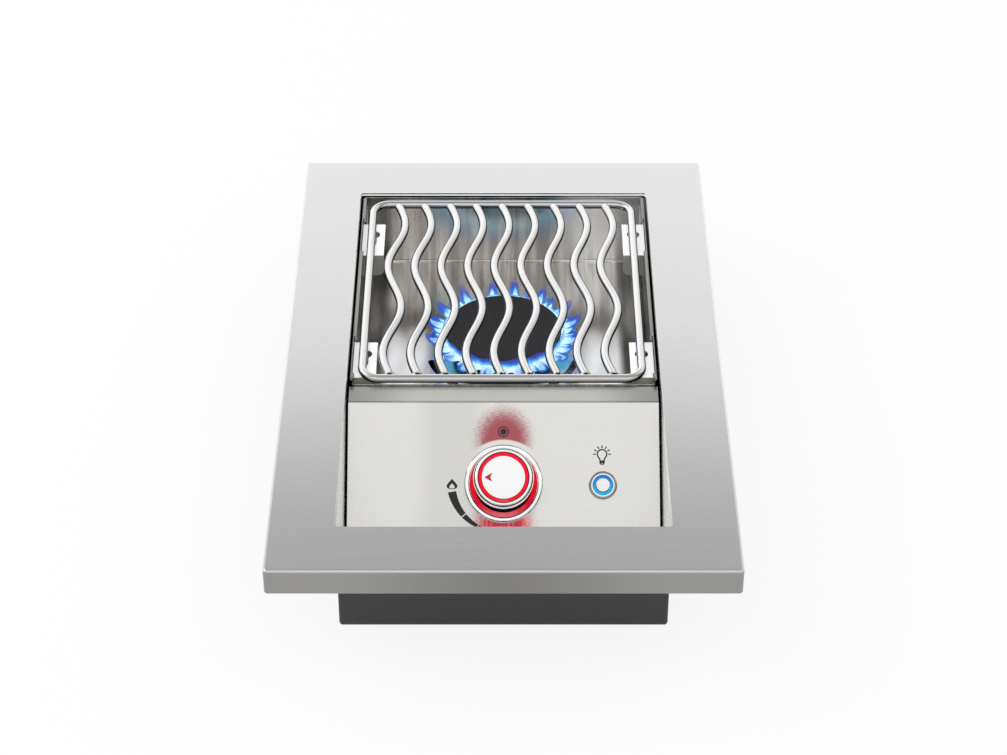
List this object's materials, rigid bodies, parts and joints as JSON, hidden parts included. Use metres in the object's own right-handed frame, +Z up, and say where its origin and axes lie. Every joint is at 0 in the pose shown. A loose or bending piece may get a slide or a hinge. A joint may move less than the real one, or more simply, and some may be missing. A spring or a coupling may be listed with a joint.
{
  "type": "built in side burner",
  "caption": "Drop-in gas side burner for an outdoor kitchen counter, with a wavy rod grate, a round capped burner, a sloped control panel, a lit knob and a lit push button.",
  "frame": {"origin": "middle of the housing's underside", "axes": "+X to the user's right, +Y to the back, +Z up"},
  "size_m": [0.3556, 0.5588, 0.1016],
  "materials": {
    "brushed_trim": "brushed stainless steel, grain along each bar",
    "brushed_panel": "brushed stainless steel, grain across",
    "sheet_steel": "mill finish stainless sheet",
    "bright_steel": "bright stainless steel",
    "grate_steel": "polished stainless rod",
    "dark_housing": "dark satin sheet",
    "black_cap": "matt black enamel",
    "cast_aluminium": "as cast",
    "aluminium_tube": "drawn tube",
    "brass": "machined",
    "chrome": "polished chrome plate",
    "red_light": "lit red diffuser",
    "blue_light": "lit blue diffuser",
    "black_plastic": "moulded",
    "ceramic": "glazed white",
    "rubber": "silicone cable",
    "spring_steel": "spring wire",
    "battery_can": "plain wrapped cell"
  },
  "bodies": {
    "burner_unit": {"trim_frame": "brushed_trim", "frame_nut_1": "bright_steel", "frame_nut_2": "bright_steel", "frame_nut_3": "bright_steel", "frame_nut_4": "bright_steel", "frame_nut_5": "bright_steel", "frame_nut_6": "bright_steel", "outer_housing": "dark_housing", "burner_pan": "sheet_steel", "pan_rail_left": "sheet_steel", "pan_rail_right": "sheet_steel", "bracket_rear_left": "bright_steel", "bracket_rear_right": "bright_steel", "bracket_front_left": "bright_steel", "bracket_front_right": "bright_steel", "burner_base": "cast_aluminium", "burner_flame_ring": "brass", "burner_screw_left": "bright_steel", "burner_screw_right": "bright_steel", "mixer_tube": "cast_aluminium", "orifice_bracket": "sheet_steel", "orifice_jet": "brass", "control_panel": "brushed_panel", "foot_screw_left": "bright_steel", "foot_screw_right": "bright_steel", "panel_screw_left": "bright_steel", "panel_screw_right": "bright_steel", "knob_bezel": "chrome", "bezel_light_ring": "red_light", "valve_return_spring": "spring_steel", "gas_valve": "brass", "valve_screw_left": "bright_steel", "valve_screw_right": "bright_steel", "ignition_switch": "black_plastic", "gas_feed_tube": "aluminium_tube", "supply_tube": "aluminium_tube", "gas_inlet_fitting": "brass", "inlet_locknut": "brass", "igniter_insulator": "ceramic", "igniter_pin": "bright_steel", "electrode_clip": "spring_steel", "electrode_lead": "rubber", "spark_module": "black_plastic", "battery_holder": "black_plastic", "battery": "battery_can", "button_housing": "bright_steel", "button_light_ring": "blue_light", "button_nut": "bright_steel", "light_lead": "rubber"},
    "grate": {"cooking_grate": "grate_steel"},
    "cap": {"burner_cap": "black_cap"},
    "stem_push": {"thrust_washer": "bright_steel"},
    "knob": {"valve_stem": "bright_steel", "control_knob": "chrome", "knob_light_ring": "red_light", "knob_face": "chrome"},
    "button": {"button_plunger": "bright_steel"},
    "shutter": {"air_shutter": "sheet_steel"}
  },
  "joints": [
    {"name": "grate_lift", "type": "slide", "parent": "burner_unit", "child": "grate", "axis": [0, 0, 1], "range_m": [0, 0.15]},
    {"name": "cap_lift", "type": "slide", "parent": "burner_unit", "child": "cap", "axis": [0, 0, 1], "range_m": [0, 0.03]},
    {"name": "knob_push", "type": "slide", "parent": "burner_unit", "child": "stem_push", "axis": [0, 0.6626, -0.749], "range_m": [0, 0.003], "stiffness_N_per_m": 1500, "springref_m": -0.004, "deforming": ["valve_return_spring"]},
    {"name": "knob_turn", "type": "hinge", "parent": "stem_push", "child": "knob", "pos_m": [0, -0.11566, 0.0494], "axis": [0, -0.6626, 0.749], "range_deg": [-90, 120]},
    {"name": "button_press", "type": "slide", "parent": "burner_unit", "child": "button", "axis": [0, 0.6626, -0.749], "range_m": [0, 0.002], "stiffness_N_per_m": 500, "springref_m": -0.002},
    {"name": "air_shutter_turn", "type": "hinge", "parent": "burner_unit", "child": "shutter", "pos_m": [0, -0.0525, 0.015], "axis": [0, 1, 0], "range_deg": [-20, 20]}
  ]
}
